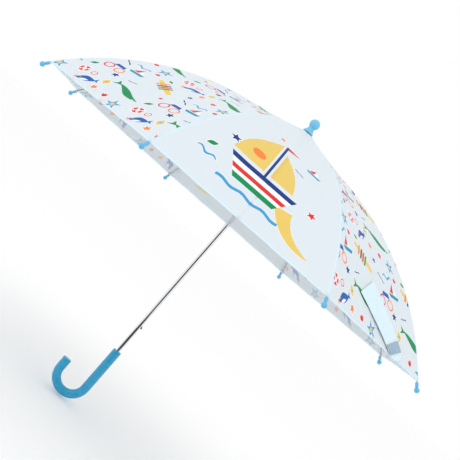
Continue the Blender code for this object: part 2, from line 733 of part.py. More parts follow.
def before_fold(column):
    """Where a column of the strap reaches the gore's middle."""
    return fold_crossing(column, -GAP / 2)


def after_fold(column):
    """Where a column of the strap goes on past the gore's middle."""
    return fold_crossing(column, GAP / 2)


def hook_start(column):
    """Where a column of the hook tape starts."""
    return HOOK_TAPE_START + STRAP_SKEW * column


def hook_end(column):
    """Where a column of the hook tape ends."""
    return hook_start(column) + HOOK_TAPE_LENGTH


def build_strap(folds, finishes):
    """The closing strap. Each side of the gore's middle carries the tape that lies on it."""
    sector = turned(azimuth(STRAP_RIB))
    near, far = folds[STRAP_RIB, "left"], folds[STRAP_RIB + 1, "right"]
    lift = 2 * GAP
    root = tape_mesh(strap_start, before_fold, lift, STRAP_THICKNESS, 3)
    piece("strap_root", root, finishes["strap"], near, sector)
    strap = tape_mesh(after_fold, strap_end, lift, STRAP_THICKNESS, 10)
    piece("closing_strap", strap, finishes["strap"], far, sector)
    lift += STRAP_THICKNESS + GAP
    hook = tape_mesh(hook_start, hook_end, lift, HOOK_TAPE_THICKNESS, 2, HOOK_TAPE_MARGIN)
    piece("hook_tape", hook, finishes["patch"], far, sector)


def main():
    """Builds the whole umbrella."""
    clear_scene()
    finishes = {
        "chrome": material("chrome", (0.80, 0.81, 0.83), 0.12, 1.0),
        "wire": material("steel wire", (0.60, 0.61, 0.63), 0.30, 1.0),
        "rib": material("bright rib steel", (0.70, 0.71, 0.73), 0.28, 1.0),
        "handle": material("blue handle plastic", (0.055, 0.330, 0.580), 0.28),
        "ferrule": material("light blue plastic", (0.160, 0.550, 0.800), 0.30),
        "tip": material("sky blue plastic", (0.110, 0.460, 0.760), 0.32),
        "collar": material("white plastic", (0.780, 0.800, 0.820), 0.40),
        "cloth": material("pale blue cloth", (0.745, 0.838, 0.888), 0.65),
        "strap": material("pale cyan tape", (0.680, 0.870, 0.930), 0.70),
        "patch": material("grey blue hook tape", (0.420, 0.560, 0.660), 0.85),
    }
    root = build_shaft(finishes)
    arms, folds = build_ribs(root, finishes)
    build_runner(arms, finishes)
    build_strap(folds, finishes)


main()
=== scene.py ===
import json
import math

import bmesh
import bpy
from mathutils import Matrix, Vector
from mathutils.geometry import delaunay_2d_cdt


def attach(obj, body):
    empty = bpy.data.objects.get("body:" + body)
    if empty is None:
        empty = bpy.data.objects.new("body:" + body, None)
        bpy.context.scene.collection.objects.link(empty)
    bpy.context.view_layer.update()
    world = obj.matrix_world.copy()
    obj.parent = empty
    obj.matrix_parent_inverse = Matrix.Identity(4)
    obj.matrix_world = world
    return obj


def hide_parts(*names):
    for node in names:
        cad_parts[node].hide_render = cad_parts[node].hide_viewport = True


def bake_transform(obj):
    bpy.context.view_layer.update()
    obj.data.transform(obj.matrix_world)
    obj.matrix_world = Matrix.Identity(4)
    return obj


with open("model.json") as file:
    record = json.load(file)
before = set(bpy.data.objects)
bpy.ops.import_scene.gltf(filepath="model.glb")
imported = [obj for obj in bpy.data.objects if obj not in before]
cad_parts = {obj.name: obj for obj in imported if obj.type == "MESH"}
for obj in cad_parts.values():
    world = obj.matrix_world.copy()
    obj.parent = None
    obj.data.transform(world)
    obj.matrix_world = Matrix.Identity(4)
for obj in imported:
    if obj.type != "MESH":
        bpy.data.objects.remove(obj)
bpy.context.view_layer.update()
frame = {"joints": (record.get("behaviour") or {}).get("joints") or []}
print("umbrella: frame loaded")

# Colours, as they read in soft daylight
inks = {
    "cloth": (0.745, 0.815, 0.865),
    "white": (0.92, 0.95, 0.97),
    "green": (0.000, 0.290, 0.095),
    "red": (0.800, 0.030, 0.028),
    "navy": (0.006, 0.042, 0.240),
    "blue": (0.012, 0.115, 0.460),
    "yellow": (0.850, 0.610, 0.150),
    "orange": (0.940, 0.245, 0.055),
    "sky": (0.055, 0.365, 0.680),
    # edge: the pale ink of the painted highlight along the hem, seams and cut edges, and of the hem's
    # stitches
    "edge": (0.710, 0.900, 0.985),
}

# The canopy, open: eight ribs, straight at first and then bending evenly down to their tips
canopy = {
    "ribs": 8,
    "firstAzimuth": math.radians(22.5),
    "sector": math.radians(45),
    "hingeRadius": 0.0065,
    "straight": 0.100,
    "length": 0.3947,
    "startSlope": math.radians(12),
    "endSlope": math.radians(51.5),
    "clearance": 0.00165,
    "crownLift": 0.004,
    "crownFade": 0.025,
    "crown": -0.0027,
    "hem": 0.3947 - 0.0106,
    "scallop": 0.005,
    "sag": 0.020,
    "thickness": 0.0003,
    "rows": 46,
    "columns": 12,
    "support": 0.0005,
    "seamRise": 0.00016,
    "seamReach": 0.0045,
    "hemRise": 0.00022,
    "hemReach": 0.009,
    "gather": 0.0007,
    "pull": 0.0007,
    "border": 1.1,  # in millimetres, as the motifs are
}
hingeHeight = next(joint for joint in frame["joints"] if joint["name"] == "canopy_fold")["pos_m"][2]


def newMesh(name, points, faces):
    mesh = bpy.data.meshes.new(name)
    mesh.from_pydata([tuple(point) for point in points], [], faces)
    mesh.update()
    piece = bpy.data.objects.new(name, mesh)
    bpy.context.scene.collection.objects.link(piece)
    return piece


def slopeAt(station):
    bend = max(0.0, station - canopy["straight"]) / (canopy["length"] - canopy["straight"])
    return canopy["startSlope"] + (canopy["endSlope"] - canopy["startSlope"]) * bend


def clothLine(station):
    # the cloth over a rib, as distance out from the shaft's axis and height
    start, end = canopy["startSlope"], canopy["endSlope"]
    along = min(station, canopy["straight"])
    radius = (canopy["length"] - canopy["straight"]) / (end - start)
    slope = slopeAt(station)
    out = along * math.cos(start) + radius * (math.sin(slope) - math.sin(start))
    up = -along * math.sin(start) + radius * (math.cos(slope) - math.cos(start))
    lift = canopy["clearance"] + canopy["crownLift"] * math.exp(-max(station, 0) / canopy["crownFade"])
    return canopy["hingeRadius"] + out + lift * math.sin(slope), hingeHeight + up + lift * math.cos(slope)


def goreWidth(station):
    return 2 * clothLine(station)[0] * math.sin(canopy["sector"] / 2)


def goreSpot(number, aside, station):
    # a point on gore `number`, aside from its middle towards the next rib
    out, height = clothLine(station)
    width = goreWidth(station)
    share = min(1.0, max(0.0, aside / width + 0.5))
    sag = canopy["sag"] * width * 4 * share * (1 - share)
    slope = slopeAt(station)
    azimuth = canopy["firstAzimuth"] + canopy["sector"] * (number - 0.5)
    outward = Vector((math.cos(azimuth), math.sin(azimuth), 0))
    beside = Vector((-math.sin(azimuth), math.cos(azimuth), 0))
    flatOut = out * math.cos(canopy["sector"] / 2) - sag * math.sin(slope)
    return outward * flatOut + beside * aside + Vector((0, 0, height - sag * math.cos(slope)))


def goreNormal(number, aside, station):
    here = goreSpot(number, aside, station)
    down = goreSpot(number, aside, station + 0.0005) - here
    across = goreSpot(number, aside + (0.0005 if aside < 0 else -0.0005), station) - here
    normal = down.cross(across)
    if aside >= 0:
        normal.negate()
    return normal.normalized()


# the print's plain motifs are lists of (outline in millimetres, ink)
def ring(radius, count=20, squash=1.0):
    turn = 2 * math.pi / count
    return [(radius * math.cos(turn * k), radius * squash * math.sin(turn * k)) for k in range(count)]


def star(points, outer, inner):
    turn = math.pi / points
    radii = (outer, inner)
    corners = range(2 * points)
    return [(radii[k % 2] * math.sin(turn * k), radii[k % 2] * math.cos(turn * k)) for k in corners]


def ribbon(length, width, swing, turns, taper=0.0, steps=18):
    # a band along a wave, narrowing to its ends by `taper`
    upper, lower = [], []
    for k in range(steps + 1):
        share = k / steps
        along = (share - 0.5) * length
        middle = swing * math.sin(2 * math.pi * turns * share)
        half = width / 2 * (1 - taper * abs(2 * share - 1) ** 1.5)
        upper.append((along, middle + half))
        lower.append((along, middle - half))
    return upper + lower[::-1]


def slid(outline, right=0.0, up=0.0):
    return [(x + right, y + up) for x, y in outline]


def starMotif(ink):
    return [(star(5, 6.0, 2.7), ink)]


def buoyMotif():
    parts = [(ring(6.2), "red"), (ring(2.6, 14), "white")]
    for quarter in range(4):
        angle = math.pi / 4 + quarter * math.pi / 2
        middle = (4.4 * math.cos(angle), 4.4 * math.sin(angle))
        parts.append((slid(ring(1.5, 8), *middle), "white"))
    return parts


def hoopMotif(ink):
    return [(ring(7.0, 24), ink), (ring(5.2, 20), "cloth")]


def boatMotif():
    hull = [(-11, 0), (11, 0), (8, -4.5), (-8, -4.5)]
    sail = [(-1, 1.2), (-1, 13), (-8, 1.2)]
    jib = [(0.6, 1.2), (0.6, 10), (6, 1.2)]
    stripe = [(-10, -1.4), (10, -1.4), (9.2, -2.8), (-9.2, -2.8)]
    return [(hull, "sky"), (stripe, "green"), (sail, "red"), (jib, "white")]


def starfishMotif():
    return [(star(5, 11.0, 4.2), "sky"), (star(5, 4.2, 2.2), "yellow")]


def longFishMotif():
    body = ribbon(46, 9, 2.0, 0.8, 0.95)
    tail = [(20, -1), (30, 5), (27, 0), (30, -6)]
    return [(tail, "green"), (body, "green"), (slid(ring(0.9, 8), -17, 2), "white")]


def kiteMotif():
    return [([(0, 9), (6, 0), (0, -9), (-6, 0)], "yellow"), (ring(1.8, 10), "sky")]


def tulipMotif():
    cup = [(-4, 4), (-2, 1.5), (0, 4.5), (2, 1.5), (4, 4), (3.6, -2), (0, -5), (-3.6, -2)]
    return [(cup, "red")]


def leafMotif():
    return [(ribbon(13, 6, 0.0, 0, 1.0, 12), "green")]


def dashMotif():
    return [(ribbon(20, 1.9, 0.5, 2), "navy")]


def waveMotif():
    return [(ribbon(24, 3.6, 2.4, 1.5, 0.5), "sky")]


def gliderMotif():
    # a paper glider with striped wings
    body = [(-2.5, 22), (2.5, 22), (4.5, 4), (3, -22), (-3, -22), (-4.5, 4)]
    parts = [(body, "yellow")]
    for level, ink in ((6, "navy"), (1, "red"), (-4, "green"), (12, "orange")):
        parts.append(([(-8, level), (8, level), (8, level - 3), (-8, level - 3)], ink))
    return parts


def whaleMotif():
    body = ribbon(26, 13, 1.2, 0.6, 0.85)
    belly = slid(ribbon(14, 4.6, 0.0, 0, 1.0, 12), -2, -2.2)
    fluke = [(11, 0), (18, 6), (16, 0.5), (18, -5)]
    return [(fluke, "blue"), (body, "blue"), (belly, "white"), (slid(ring(0.8, 8), -8, 2), "yellow")]


def cartMotif():
    # two hoops under a blue seat
    frameLine = [(-8, 4), (8, 4), (6, 9), (-6, 9)]
    parts = [(frameLine, "blue")]
    for side, ink in ((-8, "red"), (8, "orange")):
        parts.append((slid(ring(6.0, 20), side, -2), ink))
        parts.append((slid(ring(4.4, 18), side, -2), "cloth"))
    return parts


def sailerMotif():
    # the large sailing boat of the two plain gores
    parts = [(slid(ribbon(74, 4, 1.6, 3), 0, -44), "sky")]
    bands = (("navy", 0), ("white", -7), ("red", -14), ("white", -20), ("green", -25))
    for ink, top in bands:
        reach = 40 + top * 0.5
        low = top - 7
        lowReach = 40 + low * 0.5
        parts.append(([(-reach, top), (reach, top), (lowReach, low), (-lowReach, low)], ink))
    mast = [(-1.4, 0), (1.4, 0), (1.4, 84), (-1.4, 84)]
    main = [(-4, 6)]
    jib = [(4, 6)]
    for k in range(11):  # the sails' bellied edges
        share = k / 10
        bow = 8 * math.sin(math.pi * share)
        main.append((-42 * (1 - share) - bow - 4 * share, 6 + 74 * share))
        jib.append((32 * (1 - share) + bow * 0.7 + 4 * share, 6 + 58 * share))
    patch = slid(ring(8, 16, 0.85), -18, 26)
    pennant = [(1.4, 84), (1.4, 77), (17, 80.5)]
    parts += [(mast, "navy"), (main, "yellow"), (jib, "yellow"), (patch, "orange"), (pennant, "red")]
    return parts


def cometMotif():
    # a yellow tail that swings down and out to a point
    steps, length = 20, 76
    left, right = [], []
    x, y = -4.0, 14.0
    for k in range(steps + 1):
        share = k / steps
        heading = math.radians(-74 + 78 * share)
        half = 12 * (1 - share) ** 0.8 + 0.3
        left.append((x - half * math.sin(heading), y + half * math.cos(heading)))
        right.append((x + half * math.sin(heading), y - half * math.cos(heading)))
        x += length / steps * math.cos(heading)
        y += length / steps * math.sin(heading)
    return [(left + right[::-1], "yellow")]


motifs = {
    "starNavy": starMotif("navy"),
    "starOrange": starMotif("orange"),
    "starRed": starMotif("red"),
    "buoy": buoyMotif(),
    "hoopRed": hoopMotif("red"),
    "boat": boatMotif(),
    "starfish": starfishMotif(),
    "longFish": longFishMotif(),
    "kite": kiteMotif(),
    "tulip": tulipMotif(),
    "leaf": leafMotif(),
    "dash": dashMotif(),
    "wave": waveMotif(),
    "glider": gliderMotif(),
    "whale": whaleMotif(),
    "cart": cartMotif(),
    "sailer": sailerMotif(),
    "comet": cometMotif(),
}

# One repeat of the small print: motif, place across, place up, turn in degrees, size
smallRepeat = {
    "width": 140,
    "height": 128,
    "shift": 66,
    "across": {1: 20, 3: -40, 4: 55, 5: 0, 7: -24, 8: 35},
    "motifs": (
        ("longFish", -4, 44, 172, 1.3), ("glider", -8, 104, 68, 1.25), ("starNavy", -60, 58, 10, 1.1),
        ("starOrange", -40, 14, -12, 1.15), ("starfish", 16, 10, 20, 1.2), ("tulip", -12, 14, 25, 1.1),
        ("boat", -58, 92, 8, 1.35), ("dash", 46, 101, -25, 1.0), ("cart", 58, 72, 5, 1.35),
        ("buoy", 47, 30, 0, 1.3), ("whale", -66, 16, 35, 1.05), ("kite", -46, 36, 20, 1.0),
        ("starRed", 26, 76, 0, 0.75), ("leaf", 36, 52, 60, 1.1), ("hoopRed", 66, 34, 0, 0.75),
        ("wave", 66, 112, 12, 1.1), ("starNavy", 30, 120, 30, 0.9), ("tulip", -50, 120, -30, 1.0),
        ("dash", -32, 68, 20, 0.8), ("starOrange", 62, 8, 15, 0.8), ("leaf", -26, 126, -20, 0.9),
    ),
}

# The large motif of the two plain gores, with a few small ones round it
largePrint = (
    ("comet", 38, 48, 0, 1.0), ("sailer", -8, 88, 0, 1.25), ("starNavy", -64, 112, 12, 1.35),
    ("starOrange", -20, 204, 0, 1.0), ("starRed", 64, 88, -15, 1.2), ("leaf", -80, 70, 40, 1.3),
    ("wave", -78, 50, -5, 1.2), ("boat", 38, 176, -8, 1.1), ("dash", 22, 150, -20, 0.8),
)


def placed(outline, x, y, turn, size):
    # a motif's outline on the gore, in metres
    sine = math.sin(math.radians(turn)) * size
    cosine = math.cos(math.radians(turn)) * size
    spots = []
    for right, up in outline:
        spots.append(((x + right * cosine - up * sine) / 1000, (y + right * sine + up * cosine) / 1000))
    return spots


def leftTurning(outline):
    # the triangulation takes an outline's left side as its inside
    area = 0.0
    for (ax, ay), (bx, by) in zip(outline, outline[1:] + outline[:1]):
        area += ax * by - bx * ay
    return outline if area > 0 else outline[::-1]


def divided(outline, longest=0.006):
    # long edges get points along them, so that they follow the curved cloth
    points = []
    for (ax, ay), (bx, by) in zip(outline, outline[1:] + outline[:1]):
        count = max(1, math.ceil(math.hypot(bx - ax, by - ay) / longest))
        points += [(ax + (bx - ax) * k / count, ay + (by - ay) * k / count) for k in range(count)]
    return points


def widened(outline, by):
    # the outline pushed out from its middle, for the pale border round a motif
    middleX = sum(x for x, y in outline) / len(outline)
    middleY = sum(y for x, y in outline) / len(outline)
    wide = []
    for x, y in outline:
        reach = math.hypot(x - middleX, y - middleY) or 1
        wide.append((x + (x - middleX) / reach * by, y + (y - middleY) / reach * by))
    return wide


def printFor(number):
    # every outline on a gore, lowest first, as (points in metres, ink)
    if number in (2, 6):
        spots = list(largePrint)
    else:
        spots = []
        for row in range(3):
            shift = smallRepeat["shift"] * row
            for column in range(-4, 5):
                for name, x, y, turn, size in smallRepeat["motifs"]:
                    across = x + column * smallRepeat["width"] + shift + smallRepeat["across"][number]
                    spots.append((name, across, y + row * smallRepeat["height"], turn, size))
    outlines = []
    for name, x, y, turn, size in spots:
        station = canopy["hem"] - y / 1000
        if station < 0.06 or abs(x) / 1000 > goreWidth(station) / 2 + 0.03:
            continue
        border = [(widened(motifs[name][0][0], canopy["border"]), "white")] if name != "sailer" else []
        for outline, ink in border + motifs[name]:
            outlines.append((divided(leftTurning(placed(outline, x, y, turn, size))), ink))
    return outlines


def halfOutline(side):
    # a half gore, flat: across from the gore's middle, up from the hem
    rows = canopy["rows"]
    ribEdge = []
    for row in range(rows + 1):
        station = canopy["crown"] + (canopy["hem"] - canopy["crown"]) * row / rows
        ribEdge.append((side * goreWidth(station) / 2, canopy["hem"] - station))
    columns = canopy["columns"]
    hemEdge = [(ribEdge[-1][0] * (1 - k / columns), 0.0) for k in range(1, columns)]
    middle = [(0.0, ribEdge[row][1]) for row in range(rows, -1, -1)]
    return leftTurning(ribEdge + hemEdge + middle)


def halfGrid(side):
    points = []
    for row in range(1, canopy["rows"]):
        station = canopy["crown"] + (canopy["hem"] - canopy["crown"]) * row / canopy["rows"]
        half = goreWidth(station) / 2
        count = max(2, round(canopy["columns"] * half / 0.13))
        points += [(side * half * k / count, canopy["hem"] - station) for k in range(1, count)]
        # support rows keep the edges' own direction out of the cloth's shading
        for across in (canopy["support"], half - canopy["support"]):
            points.append((side * across, canopy["hem"] - station))
    columns = canopy["columns"]
    hemHalf = goreWidth(canopy["hem"]) / 2
    points += [(side * hemHalf * k / columns, canopy["support"]) for k in range(1, columns)]
    return points


def shapedHem(aside, above):
    # flat place to station, with the hem drawn in between the ribs
    station = canopy["hem"] - above
    share = min(1.0, abs(aside) / (goreWidth(station) / 2))
    drawn = canopy["scallop"] * (1 - share * share)
    level = (station - canopy["crown"]) / (canopy["hem"] - canopy["crown"])
    return station - drawn * level, share


def within(value, edge, soft):
    # 1 below the edge, 0 above it, eased across a soft width
    share = min(1.0, max(0.0, (edge + soft - value) / (2 * soft)))
    return share * share * (3 - 2 * share)


def thickening(above, share):
    # the felled seam by the rib and the turned hem, which stand proud on the outside
    fromRib = (1 - share) * goreWidth(canopy["hem"] - above) / 2
    seam = canopy["seamRise"] * within(fromRib, canopy["seamReach"], 0.0012)
    return max(seam, canopy["hemRise"] * within(above, canopy["hemReach"], 0.0015))


def ripple(above, share):
    # gathers round the crown, and long pulls that run up from the rib tips
    station = canopy["hem"] - above
    between = math.sin(math.pi * share) ** 2
    gather = canopy["gather"] * math.sin(share * 15) * between * math.exp(-max(0, station) / 0.08)
    pull = canopy["pull"] * math.sin(share * 11 + above * 22) * between * math.exp(-above / 0.10)
    return gather + pull


def clothHalf(number, side):
    outline = halfOutline(side)
    points = [Vector(point) for point in outline]
    faces = [list(range(len(points)))]
    labels = ["cloth"]
    for shape, ink in printFor(number):
        start = len(points)
        points += [Vector(point) for point in shape]
        faces.append(list(range(start, len(points))))
        labels.append(ink)
    points += [Vector(point) for point in halfGrid(side)]
    flat, _, triangles, _, _, sources = delaunay_2d_cdt(points, [], faces, 1, 1e-6)
    kept = [(face, max(source)) for face, source in zip(triangles, sources) if 0 in source]
    used = sorted({corner for face, _ in kept for corner in face})
    order = {corner: k for k, corner in enumerate(used)}
    upper, lower, weights, flatPlaces = [], [], [], []
    for corner in used:
        aside, above = flat[corner]
        station, share = shapedHem(aside, above)
        normal = goreNormal(number, aside, station)
        base = goreSpot(number, aside, station) + normal * ripple(above, share)
        upper.append(base + normal * (canopy["thickness"] / 2 + thickening(above, share)))
        lower.append(base - normal * canopy["thickness"] / 2)
        weights.append(1 - share)
        flatPlaces.append((aside, above))
    count = len(used)
    triangles = [[order[corner] for corner in face] for face, _ in kept]
    edges = {}
    for face in triangles:
        for one, two in zip(face, face[1:] + face[:1]):
            edges[one, two] = True
    rim = [(one, two) for one, two in edges if (two, one) not in edges]
    faces = [list(face) for face in triangles]
    faces += [[corner + count for corner in face[::-1]] for face in triangles]
    faces += [[two, one, one + count, two + count] for one, two in rim]
    # the cloth's cut edges round the rim take the pale edge ink, a painted highlight along the cloth's
    # thickness
    faceInks = [labels[source] for _, source in kept] * 2 + ["edge"] * len(rim)
    rib, half = (number, "left") if side < 0 else (number % canopy["ribs"] + 1, "right")
    piece = newMesh(f"cloth_{rib}_{half}", upper + lower, faces)
    paintCloth(piece, faceInks, len(triangles), flatPlaces * 2)
    finishCloth(piece, rib, half)
    return piece


def paintCloth(piece, faceInks, outerCount, flatPlaces):
    mesh = piece.data
    fromRib = mesh.attributes.new("fromRib", "FLOAT", "POINT")
    reaches = [goreWidth(canopy["hem"] - above) / 2 - abs(aside) for aside, above in flatPlaces]
    fromRib.data.foreach_set("value", reaches)
    ink = mesh.color_attributes.new("ink", "FLOAT_COLOR", "CORNER")
    inside = mesh.attributes.new("inside", "FLOAT", "FACE")
    places = mesh.uv_layers.new(name="flat")
    for polygon in mesh.polygons:
        inner = outerCount <= polygon.index < 2 * outerCount
        inside.data[polygon.index].value = 1.0 if inner else 0.0
        polygon.use_smooth = polygon.index < 2 * outerCount
        colour = (*inks[faceInks[polygon.index]], 1)
        for loop in polygon.loop_indices:
            ink.data[loop].color = colour
            places.data[loop].uv = flatPlaces[mesh.loops[loop].vertex_index]


def finishCloth(piece, rib, half):
    piece.data.materials.append(clothFinish)
    body, node = f"canopy_{rib}_{half}", f"canopy_{rib}_{half}"
    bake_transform(piece)
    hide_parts(node)


def newMaterial(name, colour, roughness, **inputs):
    material = bpy.data.materials.new(name)
    material.use_nodes = True
    shader = material.node_tree.nodes["Principled BSDF"]
    shader.inputs["Base Color"].default_value = (*colour, 1)
    shader.inputs["Roughness"].default_value = roughness
    for key, value in inputs.items():
        shader.inputs[key.replace("_", " ")].default_value = value
    return material, material.node_tree, shader


def link(tree, source, target):
    tree.links.new(source, target)


def mathNode(tree, kind, first, second=None):
    node = tree.nodes.new("ShaderNodeMath")
    node.operation = kind
    for socket, value in zip(node.inputs, (first, second)):
        if value is None:
            continue
        if isinstance(value, (int, float)):
            socket.default_value = value
        else:
            link(tree, value, socket)
    return node.outputs[0]


def bumped(tree, shader, height, strength, distance):
    bump = tree.nodes.new("ShaderNodeBump")
    bump.inputs["Strength"].default_value = strength
    bump.inputs["Distance"].default_value = distance
    link(tree, height, bump.inputs["Height"])
    link(tree, bump.outputs["Normal"], shader.inputs["Normal"])


taffeta = {
    "roughness": 0.55,
    "weave": 9000,
    "mottle": 26,
    "insideTint": (0.72, 0.765, 0.785),
    "insideMute": 0.55,
    # the widths and strength of the painted highlight bands along the hem and the seams
    "hemHighlightBand": 0.0026,
    "seamHighlightBand": 0.0020,
    "highlightStrength": 0.8,
    "stitchRow": 0.0068,
    "stitchWidth": 0.0004,
    "stitches": 2200,
    "bump": 0.35,
}


def wovenCloth():
    # printed taffeta: ink from the print, muted on the inside, a fine plain weave and a stitched hem, with
    # painted highlight bands along the hem and seams
    roughness = taffeta["roughness"]
    material, tree, shader = newMaterial("printedTaffeta", inks["cloth"], roughness, Sheen_Weight=0.04)
    shader.inputs["Specular IOR Level"].default_value = 0.14
    ink = tree.nodes.new("ShaderNodeAttribute")
    ink.attribute_name = "ink"
    inside = tree.nodes.new("ShaderNodeAttribute")
    inside.attribute_name = "inside"
    muted = tree.nodes.new("ShaderNodeMix")
    muted.data_type = "RGBA"
    muted.inputs[7].default_value = (*taffeta["insideTint"], 1)
    link(tree, mathNode(tree, "MULTIPLY", inside.outputs["Fac"], taffeta["insideMute"]), muted.inputs[0])
    link(tree, ink.outputs["Color"], muted.inputs[6])
    places = tree.nodes.new("ShaderNodeUVMap")
    places.uv_map = "flat"
    split = tree.nodes.new("ShaderNodeSeparateXYZ")
    link(tree, places.outputs["UV"], split.inputs[0])
    warp = mathNode(tree, "SINE", mathNode(tree, "MULTIPLY", split.outputs[0], taffeta["weave"]))
    weft = mathNode(tree, "SINE", mathNode(tree, "MULTIPLY", split.outputs[1], taffeta["weave"]))
    weave = mathNode(tree, "MULTIPLY", warp, weft)
    noise = tree.nodes.new("ShaderNodeTexNoise")
    noise.inputs["Scale"].default_value = taffeta["mottle"]
    noise.inputs["Detail"].default_value = 3
    link(tree, places.outputs["UV"], noise.inputs["Vector"])
    # painted highlight: pale bands along the hem and the seams, where the turned hem and the seam ridges
    # catch the light, with the hem's stitches in the same pale ink
    above = split.outputs[1]
    hemHighlightBand = mathNode(tree, "LESS_THAN", above, taffeta["hemHighlightBand"])
    stitchRow = mathNode(tree, "COMPARE", above, taffeta["stitchRow"])
    stitchRow.node.inputs[2].default_value = taffeta["stitchWidth"]
    dashes = mathNode(tree, "SINE", mathNode(tree, "MULTIPLY", split.outputs[0], taffeta["stitches"]))
    stitch = mathNode(tree, "MULTIPLY", stitchRow, mathNode(tree, "GREATER_THAN", dashes, -0.4))
    fromRib = tree.nodes.new("ShaderNodeAttribute")
    fromRib.attribute_name = "fromRib"
    seamHighlightBand = mathNode(tree, "LESS_THAN", fromRib.outputs["Fac"], taffeta["seamHighlightBand"])
    band = mathNode(tree, "MULTIPLY", mathNode(tree, "MAXIMUM", hemHighlightBand, seamHighlightBand), taffeta["highlightStrength"])
    highlightAndStitchMix = tree.nodes.new("ShaderNodeMix")
    highlightAndStitchMix.data_type = "RGBA"
    highlightAndStitchMix.inputs[7].default_value = (*inks["edge"], 1)
    link(tree, mathNode(tree, "MAXIMUM", band, stitch), highlightAndStitchMix.inputs[0])
    link(tree, muted.outputs[2], highlightAndStitchMix.inputs[6])
    link(tree, highlightAndStitchMix.outputs[2], shader.inputs["Base Color"])
    height = mathNode(tree, "ADD", mathNode(tree, "MULTIPLY", weave, 0.25), noise.outputs["Fac"])
    height = mathNode(tree, "ADD", height, mathNode(tree, "MULTIPLY", stitch, 0.6))
    bumped(tree, shader, height, taffeta["bump"], 0.0006)
    return material


def mouldedPlastic(name, colour, roughness):
    # gloss with a faint flow mottle and fine scuffs
    material, tree, shader = newMaterial(name, colour, roughness, Coat_Weight=0.25, Coat_Roughness=0.12)
    places = tree.nodes.new("ShaderNodeTexCoord")
    mottle = tree.nodes.new("ShaderNodeTexNoise")
    mottle.inputs["Scale"].default_value = 90
    mottle.inputs["Detail"].default_value = 4
    link(tree, places.outputs["Object"], mottle.inputs["Vector"])
    spread = tree.nodes.new("ShaderNodeMapRange")
    spread.inputs["To Min"].default_value = roughness - 0.06
    spread.inputs["To Max"].default_value = roughness + 0.10
    link(tree, mottle.outputs["Fac"], spread.inputs["Value"])
    link(tree, spread.outputs["Result"], shader.inputs["Roughness"])
    ramp = tree.nodes.new("ShaderNodeValToRGB")
    ramp.color_ramp.elements[0].color = (*[channel * 0.97 for channel in colour], 1)
    ramp.color_ramp.elements[1].color = (*[min(1, channel * 1.03) for channel in colour], 1)
    link(tree, mottle.outputs["Fac"], ramp.inputs["Fac"])
    link(tree, ramp.outputs["Color"], shader.inputs["Base Color"])
    bumped(tree, shader, mottle.outputs["Fac"], 0.05, 0.0001)
    return material


def platedMetal(name, colour, roughness, stretch):
    # drawn metal, its fine lines running along Z
    material, tree, shader = newMaterial(name, colour, roughness, Metallic=1.0)
    places = tree.nodes.new("ShaderNodeTexCoord")
    mapping = tree.nodes.new("ShaderNodeMapping")
    mapping.inputs["Scale"].default_value = stretch
    link(tree, places.outputs["Object"], mapping.inputs["Vector"])
    lines = tree.nodes.new("ShaderNodeTexNoise")
    lines.inputs["Scale"].default_value = 1
    lines.inputs["Detail"].default_value = 4
    link(tree, mapping.outputs["Vector"], lines.inputs["Vector"])
    spread = tree.nodes.new("ShaderNodeMapRange")
    spread.inputs["To Min"].default_value = max(0.03, roughness - 0.05)
    spread.inputs["To Max"].default_value = roughness + 0.09
    link(tree, lines.outputs["Fac"], spread.inputs["Value"])
    link(tree, spread.outputs["Result"], shader.inputs["Roughness"])
    bumped(tree, shader, lines.outputs["Fac"], 0.05, 0.0001)
    return material


def tapeFinish(name, colour, pile):
    # woven tape, or the hooked face of the fastener where pile is higher
    material, tree, shader = newMaterial(name, colour, 0.7 if pile < 0.5 else 0.9, Sheen_Weight=0.3)
    places = tree.nodes.new("ShaderNodeTexCoord")
    grain = tree.nodes.new("ShaderNodeTexNoise")
    grain.inputs["Scale"].default_value = 1500 if pile > 0.5 else 700
    grain.inputs["Detail"].default_value = 2
    link(tree, places.outputs["Object"], grain.inputs["Vector"])
    ramp = tree.nodes.new("ShaderNodeValToRGB")
    dark = 1 - 0.30 * pile - 0.05
    ramp.color_ramp.elements[0].position = 0.35
    ramp.color_ramp.elements[0].color = (*[channel * dark for channel in colour], 1)
    ramp.color_ramp.elements[1].position = 0.65
    ramp.color_ramp.elements[1].color = (*[min(1, channel * 1.05) for channel in colour], 1)
    link(tree, grain.outputs["Fac"], ramp.inputs["Fac"])
    link(tree, ramp.outputs["Color"], shader.inputs["Base Color"])
    bumped(tree, shader, grain.outputs["Fac"], 0.2 + 0.5 * pile, 0.0005)
    return material


clothFinish = wovenCloth()
handleFinish = mouldedPlastic("handlePlastic", (0.012, 0.320, 0.560), 0.26)
ferruleFinish = mouldedPlastic("ferrulePlastic", (0.155, 0.545, 0.800), 0.28)
tipFinish = mouldedPlastic("tipPlastic", (0.110, 0.470, 0.780), 0.28)
collarFinish = mouldedPlastic("collarPlastic", (0.78, 0.80, 0.82), 0.45)
chromeFinish = platedMetal("shaftChrome", (0.80, 0.81, 0.83), 0.08, (2500, 2500, 30))
ribFinish = platedMetal("ribSteel", (0.70, 0.71, 0.73), 0.24, (900, 900, 900))
wireFinish = platedMetal("springWire", (0.60, 0.61, 0.63), 0.22, (900, 900, 900))
strapFinish = tapeFinish("strapTape", (0.690, 0.875, 0.950), 0.1)
hookFinish = tapeFinish("hookTape", (0.360, 0.510, 0.660), 1.0)
print("umbrella: finishes made")

for gore in range(1, canopy["ribs"] + 1):
    clothHalf(gore, -1)
    clothHalf(gore, 1)
print("umbrella: canopy sewn")

# The closing strap, sewn at its upper end and hanging slantwise to the hem
strap = {
    "gore": 7,
    "rootAside": -0.0255,
    "rootAbove": 0.0639,
    "slant": math.radians(-32.5),
    "length": 0.116,
    "rootWidth": 0.049,
    "endWidth": 0.027,
    "skew": 0.007,
    "rounding": 0.008,
    "thickness": 0.0008,
    "lift": 0.0009,
    "hookStart": 0.087,
    "hookLength": 0.0165,
    "hookThickness": 0.0010,
    "hookMargin": 0.0005,
    "puff": 0.0022,
    "columns": 14,
    "rootRows": 14,
    "rows": 44,
    "hookRows": 10,
}


